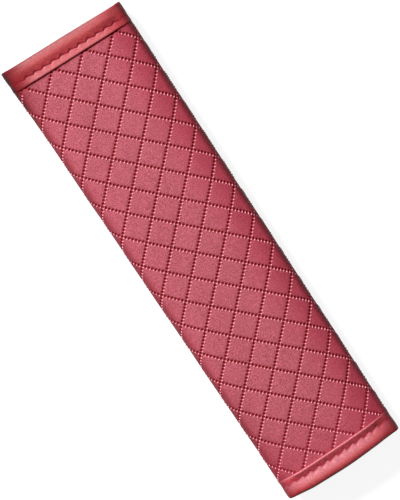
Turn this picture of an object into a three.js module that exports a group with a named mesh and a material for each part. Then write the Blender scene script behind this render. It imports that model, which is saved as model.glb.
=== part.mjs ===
// Seat belt shoulder pad: a padded leather sheet with diamond quilting, wrapped into a flat
// sleeve round the belt, bound at both ends and closed along its back by hook and loop strips.
// Millimetres, +Z up. The pad lies on its back: X runs along it, Y across it, the front is up.
// The end at -X is called the upper end, the one at +X the lower end.

import * as THREE from 'three';
import { mergeVertices } from 'three/addons/utils/BufferGeometryUtils.js';

const { clamp, degToRad, lerp } = THREE.MathUtils;

// Sleeve
const padLength = 250;
const panelHalfWidth = 17.4; // nearly flat middle of the front, to one side
const shoulderLength = 12; // gently rounded strip beside it, measured along the leather
const sideRadius = 6.2; // long edge, from the front round to the side
const backRadius = 4.9; // long edge, from the side round to the back
const crownTurnUpper = degToRad(0.5); // how far the middle bends down to one side
const crownTurnLower = degToRad(4); // the lower end is puffed open a little more
const shoulderTurnUpper = degToRad(25);
const shoulderTurnLower = degToRad(27);
const outerFlapReach = 21; // free edge of the outer flap, past the centre line
const innerFlapReach = 12; // free edge of the inner flap, past the centre line
const upperEndSkew = 0.03; // the upper end is sewn a little out of square
const upperEndLean = 0.055; // and its back is a little shorter than its front

// Layers of the padded sheet
const coverLeather = 0.5; // at the bottom of a groove
const foamThickness = 1.65;
const foamSqueezed = 0.25; // inside a binding or hem
const liningThickness = 0.4;
const layerGap = 0.25;

// Quilting: squares of stitched grooves, standing on their corners
const diamondDiagonal = 17.07;
const quiltDepth = 0.6;
const crossingFromUpperEnd = 19.27; // a crossing of grooves, measured from the upper end
const crossingFromCentre = -3.08; // and across the front from the centre line
const crossingSlack = 0.01; // of a quarter of a diagonal, so that rounding moves no division
const seamRoom = 1 / 3; // of a quarter of a diagonal, between a seam and the nearest division

// Bindings and hems: leather strips folded over the edges of the sheet
const bindingWidth = 10.8;
const hemWidth = 6.5;
const bindingLeather = 0.8;
const bindingInnerLeather = 0.55;
const leatherAtSeam = 0.4; // where the stitches pull it thin
const bindingRoll = 0.75; // crest of a binding, above the tops of the quilting on the front
const bindingEdge = 0.5; // inner edge of a binding, likewise
const backProud = 0.1; // both of them on the back, and all of a hem
const bindingSeamDrop = 1.3; // from the crest down to the stitched groove
const hemSeamDrop = 0.45;
const seamFromEdge = 7.2; // stitched groove of a binding
const hemSeamFromEdge = 4.6;
const crestShare = 0.37; // of the way from the fold to the seam
const foldSoftness = 2.4; // length over which the hidden side of a fold is rounded
const rampLength = 1.7; // over which the padding thins down to go into a strip
const stripGap = 0.3;
const coarseSpans = 6; // divisions along the pad of everything but the quilting
const rollSpans = 3; // divisions of each curve in a strip's section

// Closure
const tapeWidth = 16;
const hookThickness = 1;
const loopThickness = 1;
const tapeGap = 0.1;
const tapeEndMargin = 3; // from the end bindings to the strips
const tapeFromOuterHem = 1.5;

const halfLength = padLength / 2;
const quarter = diamondDiagonal / 4; // between divisions of the quilting

// Faces of the layers, as depths below the tops of the quilting
const foamTop = quiltDepth + coverLeather + layerGap;
const liningTop = foamTop + foamThickness + layerGap;
const sheetThickness = liningTop + liningThickness;
const coverTopInStrip = bindingSeamDrop - bindingRoll + leatherAtSeam + layerGap;
const foamTopInStrip = coverTopInStrip + coverLeather + layerGap;
const liningTopInStrip = foamTopInStrip + foamSqueezed + layerGap;
const stripInside = liningTopInStrip + liningThickness + layerGap;
const stripBottom = stripInside + bindingInnerLeather;
const thickestSheet = Math.max(sheetThickness, stripBottom);
const sheetInset = bindingLeather + layerGap;

// Heights of the closure, above the surface that the pad lies on
const hookLevel = sheetThickness + tapeGap;
const loopLevel = hookLevel + hookThickness + tapeGap;
const innerFlapLevel = Math.max(loopLevel + loopThickness, thickestSheet) + backProud + tapeGap;

// Where a place lies along the pad, from 0 at the upper end to 1 at the lower end
function share(x) {
  return clamp(x / padLength + 0.5, 0, 1);
}

// The section of the sleeve from the top centre round one side to the back, as stretches of
// leather with a length and the angle through which each turns. side is -1 or 1.
function stretches(x, side) {
  const crown = lerp(crownTurnUpper, crownTurnLower, share(x));
  const shoulder = lerp(shoulderTurnUpper, shoulderTurnLower, share(x));
  const edge = Math.PI / 2 - crown - shoulder;
  return [
    { length: panelHalfWidth, turn: crown },
    { length: shoulderLength, turn: shoulder },
    { length: sideRadius * edge, turn: edge },
    { length: side > 0 ? innerFlapLevel : 0, turn: 0 },
    { length: backRadius * Math.PI / 2, turn: Math.PI / 2 },
  ];
}

// Follows the section for a distance and gives the place reached and its heading
function walk(list, distance) {
  let y = 0;
  let z = 0;
  let heading = 0;
  let left = distance;
  for (const { length, turn } of list) {
    const step = Math.min(left, length);
    if (turn === 0) {
      y += step * Math.cos(heading);
      z -= step * Math.sin(heading);
    } else {
      const radius = length / turn;
      const next = heading + step / radius;
      y += radius * (Math.sin(next) - Math.sin(heading));
      z += radius * (Math.cos(next) - Math.cos(heading));
      heading = next;
    }
    left -= step;
  }
  y += left * Math.cos(heading);
  z -= left * Math.sin(heading);
  return { y, z, heading };
}

function lengthOf(list) {
  return list.reduce((sum, stretch) => sum + stretch.length, 0);
}

// Leather from the top centre to the free edge of the flap on one side
function reach(x, side) {
  const list = stretches(x, side);
  const folded = lengthOf(list);
  return folded + walk(list, folded).y + (side > 0 ? outerFlapReach : innerFlapReach);
}

// A station is a line that runs along the pad: either at a fixed arc from the top centre, or
// at a fixed inset from the free edge of the flap on its side.
function arcOf(x, station) {
  return 'inset' in station ? reach(x, station.side) - station.inset : Math.abs(station.arc);
}

// Height of the top centre of the front
function frontLevel(x) {
  const list = stretches(x, -1);
  return innerFlapLevel - walk(list, lengthOf(list)).z;
}

function place(x, station, depth) {
  const side = station.side;
  const spot = walk(stretches(x, side), arcOf(x, station));
  const y = side * (spot.y - depth * Math.sin(spot.heading));
  const z = frontLevel(x) + spot.z - depth * Math.cos(spot.heading);
  return skewed(new THREE.Vector3(x, y, z));
}

function skewed(point) {
  const weight = (1 - share(point.x)) ** 2;
  const below = Math.max(frontLevel(point.x) - point.z, 0);
  point.x += weight * (upperEndSkew * point.y + upperEndLean * below);
  return point;
}

// 1 inside a binding or hem, 0 where the sheet has its full thickness
function squeeze(x, station) {
  const ramp = (distance, width) => clamp((width + stripGap + rampLength - distance) / rampLength, 0, 1);
  const fromEnd = halfLength - Math.abs(x);
  const fromFlapEdge = reach(x, station.side) - arcOf(x, station);
  return Math.max(ramp(fromEnd, bindingWidth), ramp(fromFlapEdge, hemWidth));
}

// Height of a quilted square, 0 in its grooves and 1 on its flat top
function pillow(x, station) {
  const along = x + halfLength - crossingFromUpperEnd;
  const across = station.side * arcOf(x, station) - crossingFromCentre;
  const rise = (distance) => {
    const turns = distance / diamondDiagonal;
    return clamp(4 * Math.abs(turns - Math.round(turns)), 0, 1);
  };
  return rise(along + across) * rise(along - across);
}

// Stations round the sleeve, from the free edge of the inner flap to that of the outer one.
// firstInset is that of the first and last station.
function stationsRound(firstInset) {
  const seamInsets = [hemWidth + stripGap, hemWidth + stripGap + rampLength];
  const room = (side) => {
    const shortest = Math.min(reach(-halfLength, side), reach(halfLength, side));
    return shortest - seamInsets[1] - seamRoom * quarter;
  };
  const list = [firstInset, ...seamInsets].map((inset) => ({ side: -1, inset }));
  const first = Math.ceil((-room(-1) - crossingFromCentre) / quarter);
  const last = Math.floor((room(1) - crossingFromCentre) / quarter);
  for (let count = first; count <= last; count += 1) {
    const arc = crossingFromCentre + count * quarter;
    list.push({ side: arc < 0 ? -1 : 1, arc });
  }
  list.push(...[...seamInsets.reverse(), firstInset].map((inset) => ({ side: 1, inset })));
  return list;
}

// Places along the pad where the sheet is divided: at the bindings and evenly between them
function coarseLengths() {
  const squeezed = halfLength - bindingWidth - stripGap;
  const full = squeezed - rampLength;
  const list = [sheetInset - halfLength, -squeezed];
  for (let count = 0; count <= coarseSpans; count += 1) {
    list.push(lerp(-full, full, count / coarseSpans));
  }
  list.push(squeezed, halfLength - sheetInset);
  return list;
}

// The same ends, with the crossings and quarters of the quilting between them
function quiltLengths() {
  const coarse = coarseLengths();
  const full = coarse[coarse.length - 3];
  const list = coarse.slice(0, 3);
  const start = crossingFromUpperEnd - halfLength;
  const room = full - seamRoom * quarter;
  for (let count = Math.ceil((-room - start) / quarter); start + count * quarter <= room; count += 1) {
    list.push(start + count * quarter);
  }
  list.push(...coarse.slice(-3));
  return list;
}

// Whether a cell of the sheet is split from its first corner to its opposite one, so that the
// groove in it, if it has one, lies on the split
function splitForward(x, station) {
  const cell = (distance) => Math.floor(distance / quarter + crossingSlack);
  const along = cell(x + halfLength - crossingFromUpperEnd);
  const across = cell(station.side * arcOf(x, station) - crossingFromCentre);
  const modulo = (value) => ((value % 4) + 4) % 4;
  return modulo(along - across) === 0 || modulo(along + across + 1) === 2;
}

// A closed solid between an outer and an inner face. Both faces share their stations, and
// each has its own divisions along the pad.
function sheet(outerLengths, innerLengths, outerDepth, innerDepth) {
  const stations = stationsRound(sheetInset);
  const points = [];
  const index = [];
  const lay = (lengths, depth) => lengths.map((x) => stations.map((station) => {
    const point = place(x, station, depth(x, station));
    points.push(point.x, point.y, point.z);
    return { id: points.length / 3 - 1, at: x };
  }));
  const face = (grid, lengths, outward) => {
    for (let i = 0; i < lengths.length - 1; i += 1) {
      for (let k = 0; k < stations.length - 1; k += 1) {
        const [a, b, c, d] = [grid[i][k], grid[i + 1][k], grid[i + 1][k + 1], grid[i][k + 1]];
        const cell = splitForward(lengths[i], stations[k]) ? [a, b, c, a, c, d] : [a, b, d, b, c, d];
        const ids = cell.map((corner) => corner.id);
        index.push(...(outward ? ids : ids.reverse()));
      }
    }
  };
  // joins two rows of points that run side by side, whatever their numbers
  const wall = (upper, lower) => {
    const direction = Math.sign(upper[upper.length - 1].at - upper[0].at);
    let i = 0;
    let j = 0;
    while (i < upper.length - 1 || j < lower.length - 1) {
      const upperNext = i < upper.length - 1;
      const lowerNext = j < lower.length - 1;
      const earlier = upperNext && lowerNext
        && direction * (upper[i + 1].at - lower[j + 1].at) <= 0;
      if (upperNext && (!lowerNext || earlier)) {
        index.push(upper[i + 1].id, upper[i].id, lower[j].id);
        i += 1;
      } else {
        index.push(lower[j].id, lower[j + 1].id, upper[i].id);
        j += 1;
      }
    }
  };
  const outer = lay(outerLengths, outerDepth);
  const inner = lay(innerLengths, innerDepth);
  face(outer, outerLengths, true);
  face(inner, innerLengths, false);
  const numbered = (row) => row.map(({ id }, count) => ({ id, at: count }));
  const last = stations.length - 1;
  wall(outer.map((row) => row[0]), inner.map((row) => row[0]));
  wall(outer.map((row) => row[last]).reverse(), inner.map((row) => row[last]).reverse());
  wall(numbered(outer[outer.length - 1]), numbered(inner[inner.length - 1]));
  wall(numbered(outer[0].slice().reverse()), numbered(inner[0].slice().reverse()));
  const geometry = new THREE.BufferGeometry();
  geometry.setAttribute('position', new THREE.Float32BufferAttribute(points, 3));
  geometry.setIndex(index);
  return geometry;
}

// Section of a strip folded over an edge, x inward from the fold and y up from the sheet's tops.
// The roll along the fold and the strip's inner edge stand up on both sides of the seam.
function stripOutline({ width, seam, roll, edge, seamDrop }) {
  const outline = new THREE.Shape();
  const crest = seam * crestShare;
  const hidden = layerGap - coverTopInStrip;
  outline.moveTo(width, edge);
  outline.lineTo(seam, roll - seamDrop);
  outline.quadraticCurveTo((seam + crest) / 2, roll, crest, roll);
  outline.quadraticCurveTo(0, roll, 0, -stripBottom / 2);
  outline.quadraticCurveTo(0, -stripBottom, foldSoftness, -stripBottom);
  outline.lineTo(width, -stripBottom);
  outline.lineTo(width, -stripInside);
  outline.lineTo(bindingLeather, -stripInside);
  outline.lineTo(bindingLeather, hidden);
  outline.lineTo(seam, hidden);
  outline.lineTo(width, edge - bindingLeather);
  outline.closePath();
  return outline;
}

// Extrudes a strip's outline by whole steps, then lets put place each step's points
function foldedStrip(outline, steps, put) {
  const settings = { steps, depth: steps, bevelEnabled: false, curveSegments: rollSpans };
  const straight = new THREE.ExtrudeGeometry(outline, settings);
  straight.deleteAttribute('normal');
  straight.deleteAttribute('uv');
  const geometry = mergeVertices(straight);
  const position = geometry.getAttribute('position');
  for (let count = 0; count < position.count; count += 1) {
    const point = put(position.getX(count), -position.getY(count), Math.round(position.getZ(count)));
    position.setXYZ(count, point.x, point.y, point.z);
  }
  return facingOut(geometry);
}

// Turns the triangles of a closed geometry over if its volume comes out negative
function facingOut(geometry) {
  const position = geometry.getAttribute('position');
  const index = geometry.getIndex();
  const corners = [new THREE.Vector3(), new THREE.Vector3(), new THREE.Vector3()];
  let volume = 0;
  for (let count = 0; count < index.count; count += 3) {
    corners.forEach((corner, turn) => corner.fromBufferAttribute(position, index.getX(count + turn)));
    volume += corners[0].dot(corners[1].clone().cross(corners[2])) / 6;
  }
  if (volume < 0) {
    for (let count = 0; count < index.count; count += 3) {
      const first = index.getX(count);
      index.setX(count, index.getX(count + 1));
      index.setX(count + 1, first);
    }
  }
  return geometry;
}

// How far a binding may stand proud: it is drawn flat round the long edges and over the back
function proudAt(x, station) {
  const past = clamp((arcOf(x, station) - panelHalfWidth) / shoulderLength, 0, 1);
  return lerp(bindingRoll, backProud, past);
}

// end is -1 for the upper end and 1 for the lower one
function endBinding(end) {
  const stations = stationsRound(0);
  const outline = stripOutline({
    width: bindingWidth,
    seam: seamFromEdge,
    roll: bindingRoll,
    edge: bindingEdge,
    seamDrop: bindingSeamDrop,
  });
  return foldedStrip(outline, stations.length - 1, (inward, depth, step) => {
    const x = end * (halfLength - inward);
    return place(x, stations[step], Math.max(depth, -proudAt(x, stations[step])));
  });
}

// side is -1 for the inner flap and 1 for the outer one
function flapHem(side) {
  const room = halfLength - bindingWidth - stripGap;
  const outline = stripOutline({
    width: hemWidth,
    seam: hemSeamFromEdge,
    roll: backProud,
    edge: backProud,
    seamDrop: hemSeamDrop,
  });
  return foldedStrip(outline, coarseSpans, (inward, depth, step) => (
    place(lerp(-room, room, step / coarseSpans), { side, inset: inward }, depth)));
}

// A flat strip of closure tape whose lower face lies at a given height
function tape(level, thickness) {
  const length = padLength - 2 * (bindingWidth + tapeEndMargin);
  const geometry = new THREE.BoxGeometry(length, tapeWidth, thickness);
  geometry.deleteAttribute('normal');
  geometry.deleteAttribute('uv');
  const merged = mergeVertices(geometry);
  const centre = tapeWidth / 2 + hemWidth + tapeFromOuterHem - outerFlapReach;
  merged.translate(0, centre, level + thickness / 2);
  const position = merged.getAttribute('position');
  for (let count = 0; count < position.count; count += 1) {
    const point = skewed(new THREE.Vector3().fromBufferAttribute(position, count));
    position.setXYZ(count, point.x, point.y, point.z);
  }
  return merged;
}

function between(full, squeezed) {
  return (x, station) => lerp(full, squeezed, squeeze(x, station));
}

const coverTop = (x, station) => (
  lerp(quiltDepth * (1 - pillow(x, station)), coverTopInStrip, squeeze(x, station)));
const coverBottom = between(quiltDepth + coverLeather, coverTopInStrip + coverLeather);

const finishes = {
  quiltedLeather: new THREE.MeshStandardMaterial({ color: '#bd5c68', roughness: 0.5 }),
  bindingLeather: new THREE.MeshStandardMaterial({ color: '#bf5a5f', roughness: 0.42 }),
  foam: new THREE.MeshStandardMaterial({ color: '#d8d2c4', roughness: 0.95 }),
  lining: new THREE.MeshStandardMaterial({ color: '#232326', roughness: 0.9 }),
  tape: new THREE.MeshStandardMaterial({ color: '#17171a', roughness: 0.85 }),
};

const pad = new THREE.Group();

function add(name, geometry, material) {
  geometry.computeVertexNormals();
  const mesh = new THREE.Mesh(geometry, material);
  mesh.name = name;
  pad.add(mesh);
}

const coarse = coarseLengths();
add('quilted_cover', sheet(quiltLengths(), coarse, coverTop, coverBottom), finishes.quiltedLeather);
add('foam_padding', sheet(
  coarse,
  coarse,
  between(foamTop, foamTopInStrip),
  between(foamTop + foamThickness, foamTopInStrip + foamSqueezed),
), finishes.foam);
add('inner_lining', sheet(
  coarse,
  coarse,
  between(liningTop, liningTopInStrip),
  between(liningTop + liningThickness, liningTopInStrip + liningThickness),
), finishes.lining);
add('upper_end_binding', endBinding(-1), finishes.bindingLeather);
add('lower_end_binding', endBinding(1), finishes.bindingLeather);
add('inner_flap_hem', flapHem(-1), finishes.bindingLeather);
add('outer_flap_hem', flapHem(1), finishes.bindingLeather);
add('hook_strip', tape(hookLevel, hookThickness), finishes.tape);
add('loop_strip', tape(loopLevel, loopThickness), finishes.tape);

// The origin is the middle of the surface that the pad lies on
const box = new THREE.Box3().setFromObject(pad);
const middle = box.getCenter(new THREE.Vector3());
pad.position.set(-middle.x, -middle.y, -box.min.z);
pad.updateMatrixWorld(true);

export default pad;
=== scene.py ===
"""Seat belt shoulder pad: a quilted leather sleeve with bound ends, lying on its closure.

The sheet's own coordinates are x along the pad and s round it, from the middle of the front,
both in millimetres. A height is measured outward from the tops of the quilting.
"""
import logging
import math
from dataclasses import dataclass, field
from enum import Enum
from functools import cached_property
from typing import Any, Callable

import bmesh
import bpy
import numpy as np
from mathutils import Matrix, Vector


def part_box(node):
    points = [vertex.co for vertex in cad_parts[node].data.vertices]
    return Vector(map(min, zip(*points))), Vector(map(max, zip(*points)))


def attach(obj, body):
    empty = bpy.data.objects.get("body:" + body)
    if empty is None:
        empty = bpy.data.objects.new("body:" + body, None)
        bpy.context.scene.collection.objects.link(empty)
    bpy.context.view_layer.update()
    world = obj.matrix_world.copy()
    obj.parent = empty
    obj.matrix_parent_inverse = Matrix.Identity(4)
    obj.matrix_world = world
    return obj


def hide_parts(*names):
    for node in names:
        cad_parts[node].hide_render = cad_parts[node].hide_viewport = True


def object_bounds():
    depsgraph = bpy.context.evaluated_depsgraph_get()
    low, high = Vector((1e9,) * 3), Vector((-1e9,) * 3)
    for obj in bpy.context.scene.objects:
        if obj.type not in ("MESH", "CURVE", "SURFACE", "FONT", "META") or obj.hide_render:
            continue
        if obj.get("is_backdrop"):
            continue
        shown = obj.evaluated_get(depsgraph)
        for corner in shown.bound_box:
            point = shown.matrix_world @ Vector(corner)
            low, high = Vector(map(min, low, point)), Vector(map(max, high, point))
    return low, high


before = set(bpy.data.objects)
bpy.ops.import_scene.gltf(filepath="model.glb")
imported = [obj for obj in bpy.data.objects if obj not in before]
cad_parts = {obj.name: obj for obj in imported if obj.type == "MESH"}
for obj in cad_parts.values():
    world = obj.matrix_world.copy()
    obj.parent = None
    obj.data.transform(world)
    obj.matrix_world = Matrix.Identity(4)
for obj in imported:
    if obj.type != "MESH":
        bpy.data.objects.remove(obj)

MM = 0.001
TINY = 1e-9
Array = np.ndarray
Colour = tuple[float, float, float, float]
LOG = logging.getLogger("shoulder_pad")


class Side(Enum):
    """The two long sides of the sleeve, by the flap that each one leads to."""

    INNER = -1
    OUTER = 1


class End(Enum):
    """The two ends of the pad."""

    UPPER = -1
    LOWER = 1


def smooth(low: float, high: float, value: Array) -> Array:
    """Rises from 0 at low to 1 at high with soft ends.

    Args:
        low: where the rise starts.
        high: where it ends.
        value: the values to map.

    Returns:
        The risen values.
    """
    share = np.clip((value - low) / (high - low), 0.0, 1.0)
    return share * share * (3.0 - 2.0 * share)


def bell(value: Array, middle: float, width: float) -> Array:
    """1 at the middle and falling softly to both sides."""
    return np.exp(-(((value - middle) / width) ** 2))


def wave(seed: float, *terms: tuple[Array, float]) -> Array:
    """A slow, irregular wave between about -1 and 1, the same on every run.

    Args:
        seed: shifts the wave.
        terms: pairs of a coordinate and the length of its waves, both in millimetres.

    Returns:
        The wave's values.
    """
    total = 0.0
    for number, (stretch, weight) in enumerate(((1.0, 0.5), (1.83, 0.3), (3.1, 0.2))):
        phase = seed * (number + 1.7)
        for coordinate, length in terms:
            phase = phase + coordinate * stretch * math.tau / length
        total = total + weight * np.sin(phase + 1.3 * number)
    return total


@dataclass(frozen=True)
class EndShape:
    """How the two ends depart from straight cuts, in millimetres along the pad and round it."""

    fold: float = 33.0
    back: tuple[float, float] = (38.0, 48.0)
    upper_cut: float = 0.4
    upper_slant: float = 0.4
    slant_start: float = 2.0
    slant_width: float = 28.0
    upper_back: float = 1.1
    lower_reach: float = 0.45
    lower_bow: float = 0.55
    bow_middle: float = 2.0
    bow_width: float = 14.0
    lower_left: float = 0.9
    left_side: tuple[float, float] = (-32.0, -17.0)
    left_corner: float = 0.5
    right_corner: float = 0.7
    corner_place: float = 34.0
    corner_width: float = 4.5
    edge_bulge: float = 0.65
    bulge_place: float = -37.0
    bulge_width: float = 5.0
    bulge_fade: tuple[float, float] = (8.0, 45.0)

    def upper(self, s: Array) -> Array:
        """How far the upper end is cut back, more to the right and more on the back.

        Args:
            s: places round the pad.

        Returns:
            The distances.
        """
        away = np.abs(s)
        across = np.where(away > self.fold, np.sign(s) * (2 * self.fold - away), s)
        slant = self.upper_slant * np.clip((across - self.slant_start) / self.slant_width, 0.0, 1.0)
        return self.upper_cut + slant + self.upper_back * smooth(*self.back, away)

    def lower(self, s: Array) -> Array:
        """How far the lower end stands out, most in the middle and at the folds.

        Args:
            s: places round the pad.

        Returns:
            The distances.
        """
        bow = self.lower_bow * bell(s, self.bow_middle, self.bow_width)
        left = self.lower_left * (1.0 - smooth(*self.left_side, s))
        corner = np.where(s > 0.0, self.right_corner, self.left_corner)
        front = 1.0 - smooth(*self.back, np.abs(s))
        corners = corner * bell(np.abs(s), self.corner_place, self.corner_width)
        return (self.lower_reach + bow - left) * front + corners


@dataclass(frozen=True)
class Sleeve:
    """The section of the closed pad, round which every layer is wrapped."""

    length: float = 250.0
    panel_half_width: float = 17.4
    shoulder_length: float = 12.0
    side_radius: float = 6.2
    back_radius: float = 4.9
    crown: tuple[float, float] = (0.5, 4.0)
    shoulder: tuple[float, float] = (25.0, 27.0)
    outer_reach: float = 21.0
    inner_reach: float = 12.0
    skew: float = 0.03
    lean: float = 0.055
    binding: float = 10.8
    tape_margin: float = 3.0
    proud: float = 0.1
    ends: EndShape = EndShape()

    @cached_property
    def flap_level(self) -> float:
        """How much higher the inner flap lies than the outer one.

        Returns:
            The difference in millimetres, read from the frame.
        """
        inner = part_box("inner_flap_hem")[0][2]
        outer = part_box("outer_flap_hem")[0][2]
        return (inner - outer) / MM

    @cached_property
    def shift(self) -> Array:
        """Where the sleeve's own zero lies in the frame.

        Returns:
            The place in millimetres, where x and y come from the boxes of two nodes.
        """
        tape_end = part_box("hook_strip")[1][0] / MM
        hem_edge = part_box("outer_flap_hem")[0][1] / MM
        tape_reach = self.length / 2.0 - self.binding - self.tape_margin
        return np.array([tape_end - tape_reach, hem_edge + self.outer_reach, self.proud])

    def share(self, x: Array) -> Array:
        """0 at the upper end and 1 at the lower one."""
        return np.clip(x / self.length + 0.5, 0.0, 1.0)

    def stretches(self, x: Array, side: Array) -> list[tuple[Array, Array]]:
        """Lengths and turns of the section's stretches from the top centre to the back.

        Args:
            x: places along the pad.
            side: -1 or 1 for each of them.

        Returns:
            A list of (length, turn) pairs.
        """
        share = self.share(x)
        crown = np.radians(self.crown[0] + (self.crown[1] - self.crown[0]) * share)
        shoulder = np.radians(self.shoulder[0] + (self.shoulder[1] - self.shoulder[0]) * share)
        edge = math.pi / 2 - crown - shoulder
        whole = np.ones_like(x)
        drop = np.where(side > 0, self.flap_level, 0.0)
        return [
            (self.panel_half_width * whole, crown),
            (self.shoulder_length * whole, shoulder),
            (self.side_radius * edge, edge),
            (drop, 0.0 * whole),
            (self.back_radius * math.pi / 2 * whole, math.pi / 2 * whole),
        ]

    def walk(self, x: Array, arc: Array, side: Array) -> tuple[Array, Array, Array]:
        """Follows the section from the top centre.

        Args:
            x: places along the pad.
            arc: distance along the section, never negative.
            side: -1 or 1.

        Returns:
            How far out and how high the place lies, and the heading there.
        """
        out = np.zeros_like(x)
        high = np.zeros_like(x)
        heading = np.zeros_like(x)
        left = arc.copy()
        for length, turn in self.stretches(x, side):
            step = np.clip(left, 0.0, length)
            bend = np.where(length > 0, turn / np.maximum(length, TINY), 0.0)
            after = heading + step * bend
            curved = np.abs(bend) > TINY
            radius = np.where(curved, 1.0 / np.where(curved, bend, 1.0), 0.0)
            out += np.where(curved, radius * (np.sin(after) - np.sin(heading)), step * np.cos(heading))
            high += np.where(curved, radius * (np.cos(after) - np.cos(heading)), -step * np.sin(heading))
            heading = after
            left = left - step
        return out + left * np.cos(heading), high - left * np.sin(heading), heading

    def reach(self, x: Array, side: Array) -> Array:
        """Length of the sheet from the top centre to the free edge of a side's flap.

        Args:
            x: places along the pad.
            side: -1 or 1 for each of them.

        Returns:
            The lengths.
        """
        folded = sum(length for length, _turn in self.stretches(x, side))
        out, _high, _heading = self.walk(x, folded, side)
        return folded + out + np.where(side > 0, self.outer_reach, self.inner_reach)

    def flare(self, x: Array, s: Array) -> Array:
        """How far all layers are moved along x near the two ends.

        Args:
            x: places along the pad.
            s: places round it.

        Returns:
            The distances in millimetres, fading over the width of a binding.
        """
        half = self.length / 2.0
        upper_fade = np.clip(1.0 - (half + x) / self.binding, 0.0, 1.0)
        lower_fade = np.clip(1.0 - (half - x) / self.binding, 0.0, 1.0)
        return self.ends.upper(s) * upper_fade + self.ends.lower(s) * lower_fade

    def bulge(self, x: Array, s: Array) -> Array:
        """How far the left long edge stands out near the upper end, in millimetres against y."""
        near = 1.0 - smooth(*self.ends.bulge_fade, self.length / 2.0 + x)
        return self.ends.edge_bulge * near * bell(s, self.ends.bulge_place, self.ends.bulge_width)

    def place(self, x: Array, s: Array, height: Array) -> Array:
        """Puts points of the sheet into the frame.

        Args:
            x: places along the pad.
            s: places round it.
            height: distance outward from the tops of the quilting.

        Returns:
            Points in metres, one row each.
        """
        x, s, height = (np.asarray(value, dtype=float) for value in np.broadcast_arrays(x, s, height))
        side = np.where(s < 0, -1.0, 1.0)
        out, high, heading = self.walk(x, np.abs(s), side)
        inner = -np.ones_like(x)
        folded = sum(length for length, _turn in self.stretches(x, inner))
        top = self.flap_level - self.walk(x, folded, inner)[1]
        y = side * (out + height * np.sin(heading)) - self.bulge(x, s)
        z = top + high + height * np.cos(heading)
        below = np.maximum(top - z, 0.0)
        along = x + (1.0 - self.share(x)) ** 2 * (self.skew * y + self.lean * below)
        points = np.stack([along + self.flare(x, s), y, z], axis=-1).reshape(-1, 3)
        return (points + self.shift) * MM


@dataclass(frozen=True)
class Quilting:
    """The lattice of stitched grooves: squares that stand on their corners."""

    diagonal: float = 17.07
    crossing_x: float = -105.73
    crossing_s: float = -3.08
    stitches: int = 7
    groove_depth: float = 0.04
    groove_width: float = 0.8
    crown: float = 0.05
    crown_width: float = 2.4
    hole_depth: float = 0.3
    pit_radius: float = 0.5
    mark_depth: float = 0.2 * MM
    fold_start: tuple[float, float] = (28.0, 32.0)
    fold_end: tuple[float, float] = (38.0, 44.0)
    fold_calm: float = 0.7
    # These four shape the shade painted into and round the holes.
    hole_radii: tuple[float, float] = (0.42, 0.78)
    rim_radii: tuple[float, float] = (0.6, 1.15)
    hole_shift: tuple[float, float] = (0.05, -0.1)
    hole_stretch: tuple[float, float] = (0.85, 1.15)
    # The stitches are moved to the lit side of the holes, where their pale thread also stands for a
    # painted highlight.
    stitch_angles: tuple[float, float] = (56.0, -34.0)
    stitch_shifts: tuple[tuple[float, float], ...] = ((1.2, -0.02), (1.15, -0.05))
    stitch_level: float = -0.16
    half_stitch: float = 0.5

    @property
    def square(self) -> float:
        """Side of a square."""
        return self.diagonal / math.sqrt(2.0)

    @property
    def fine(self) -> float:
        """Spacing of a grid whose points alternate between holes and stitches on a groove."""
        return self.diagonal / (4 * self.stitches)

    def lattice(self, x: Array, s: Array) -> tuple[Array, Array]:
        """The two diagonal coordinates, whole numbers on the grooves.

        Args:
            x: places along the pad.
            s: places round it.

        Returns:
            The two coordinates.
        """
        along = x - self.crossing_x
        across = s - self.crossing_s
        return (along + across) / self.diagonal, (along - across) / self.diagonal

    def height(self, x: Array, s: Array) -> Array:
        """Relief of the leather.

        Args:
            x: places along the pad.
            s: places round it.

        Returns:
            Heights, 0 on top of the squares and negative in the grooves and holes.
        """
        first, second = self.lattice(x, s)
        near = [np.abs(value - np.round(value)) * self.square for value in (first, second)]
        puff = [1.0 - (1.0 - np.clip(value / self.crown_width, 0, 1)) ** 2 for value in near]
        result = -self.crown * (1.0 - puff[0] * puff[1])
        for distance, run in zip(near, (second, first)):
            beat = run * self.stitches
            along = np.abs(beat - np.round(beat)) * self.square / self.stitches
            groove = bell(distance, 0.0, self.groove_width)
            pit = np.exp(-((distance ** 2 + along ** 2) / self.pit_radius ** 2))
            result = result - self.groove_depth * groove - self.hole_depth * pit
        away = np.abs(s)
        folded = smooth(*self.fold_start, away) * (1.0 - smooth(*self.fold_end, away))
        return result * (1.0 - self.fold_calm * folded)


Put = Callable[[Array, Array, Array], tuple[Array, Array]]
Face = Callable[[Array, Array], Array]
SLEEVE = Sleeve()
QUILTING = Quilting()


def mesh_object(
        name: str, points: Array, faces: Array, sheet: Array | None = None) -> bpy.types.Object:
    """Makes a smooth mesh object in metres.

    Args:
        name: the piece's name.
        points: one row of coordinates for each point.
        faces: one row of point numbers for each face, -1 where a triangle has no fourth one.
        sheet: the sheet coordinates of each point, kept as an attribute for the finishes.

    Returns:
        The new object, linked to the scene.
    """
    mesh = bpy.data.meshes.new(name)
    used = faces >= 0
    starts = np.cumsum(used.sum(axis=1)) - used.sum(axis=1)
    mesh.vertices.add(len(points))
    mesh.vertices.foreach_set("co", np.asarray(points, dtype=np.float32).ravel())
    mesh.loops.add(int(used.sum()))
    mesh.loops.foreach_set("vertex_index", faces[used].astype(np.int32))
    mesh.polygons.add(len(faces))
    mesh.polygons.foreach_set("loop_start", starts.astype(np.int32))
    mesh.update(calc_edges=True)
    mesh.validate()
    if sheet is not None:
        made = mesh.attributes.new("sheet", "FLOAT_VECTOR", "POINT")
        made.data.foreach_set("vector", np.asarray(sheet, dtype=np.float32).ravel())
    mesh.shade_smooth()
    piece = bpy.data.objects.new(name, mesh)
    bpy.context.scene.collection.objects.link(piece)
    return piece


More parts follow.
